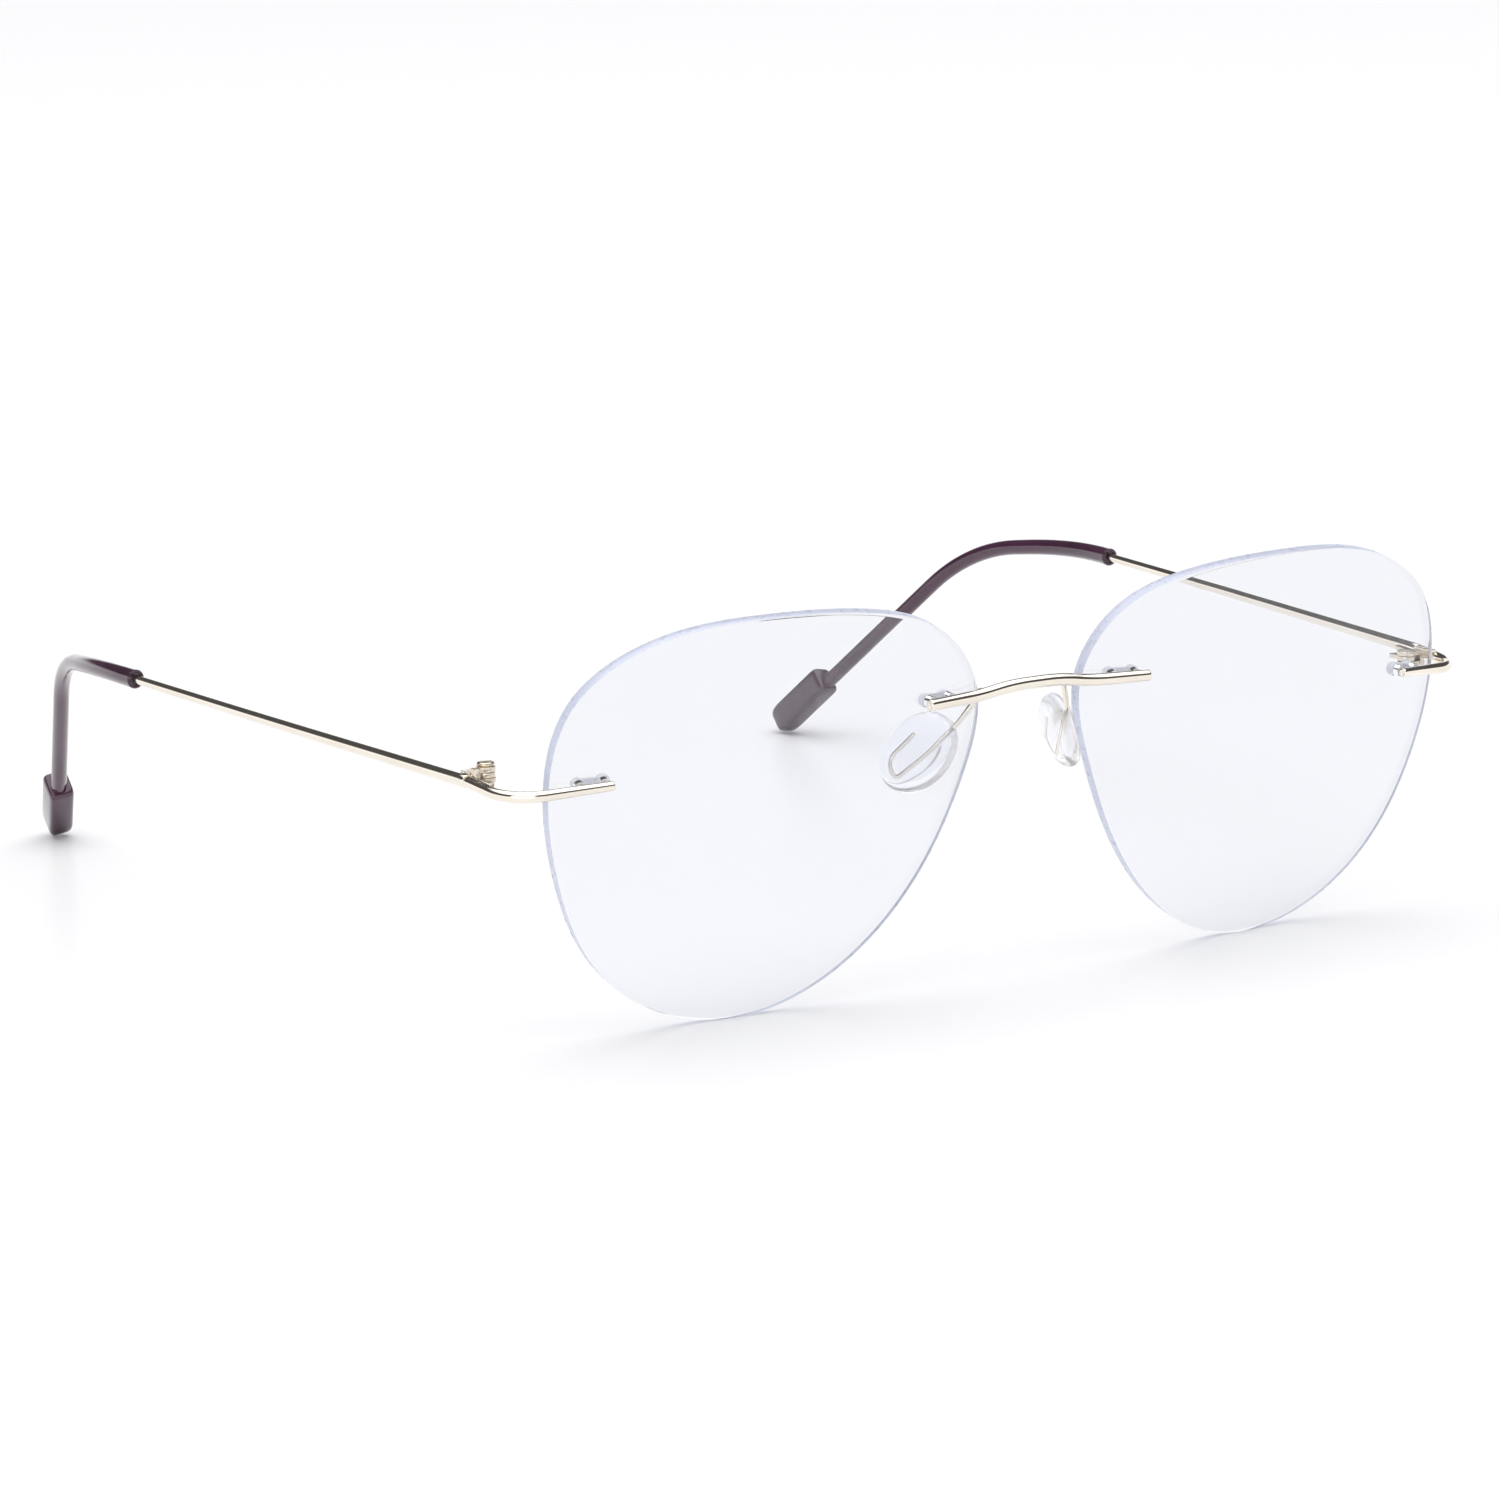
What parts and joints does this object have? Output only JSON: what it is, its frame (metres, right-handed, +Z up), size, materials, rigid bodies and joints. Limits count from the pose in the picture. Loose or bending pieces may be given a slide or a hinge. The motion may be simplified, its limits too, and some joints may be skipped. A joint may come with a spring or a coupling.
{
  "type": "rimless eyeglasses",
  "caption": "Rimless eyeglasses with clear pilot-shaped lenses, a thin gold wire bridge, wire-loop nose pads, folding gold wire temples and dark plastic tips.",
  "frame": {"origin": "centre of the bounding box, at the level of the table that the lens bottoms and temple tips rest on", "axes": "+X towards the wearer's left, -Y the way the wearer looks, +Y back along the open temples, +Z up"},
  "size_m": [0.151, 0.1524, 0.0491],
  "materials": {
    "lens_clear": "polished clear demo lens",
    "plug_clear": "clear moulded plastic",
    "gold_wire": "polished pale gold plating",
    "hinge_metal": "polished pale gold plating",
    "screw_metal": "polished, pale gold tint",
    "pad_silicone": "clear soft silicone",
    "tip_plastic": "glossy translucent dark brown"
  },
  "bodies": {
    "front": {"bridge_wire": "gold_wire", "lens_right": "lens_clear", "lens_left": "lens_clear", "bridge_plug_right": "plug_clear", "bridge_plug_left": "plug_clear", "endpiece_plug_right": "plug_clear", "endpiece_plug_left": "plug_clear", "bridge_prongs_right": "gold_wire", "bridge_prongs_left": "gold_wire", "endpiece_prongs_right": "gold_wire", "endpiece_prongs_left": "gold_wire", "endpiece_right": "gold_wire", "endpiece_left": "gold_wire", "pad_arm_right": "gold_wire", "pad_arm_left": "gold_wire", "front_hinge_right": "hinge_metal", "front_hinge_left": "hinge_metal", "hinge_screw_right": "screw_metal", "hinge_screw_left": "screw_metal", "nose_pad_right": "pad_silicone", "nose_pad_left": "pad_silicone"},
    "temple_right": {"temple_wire_right": "gold_wire", "temple_hinge_right": "hinge_metal", "temple_tip_right": "tip_plastic"},
    "temple_left": {"temple_wire_left": "gold_wire", "temple_hinge_left": "hinge_metal", "temple_tip_left": "tip_plastic"}
  },
  "joints": [
    {"name": "right_temple_fold", "type": "hinge", "parent": "front", "child": "temple_right", "pos_m": [-0.06605, -0.05996, 0.03179], "axis": [0, 0, -1], "range_deg": [0, 83]},
    {"name": "left_temple_fold", "type": "hinge", "parent": "front", "child": "temple_left", "pos_m": [0.06605, -0.05996, 0.03039], "axis": [0, 0, 1], "range_deg": [0, 89.5]}
  ]
}
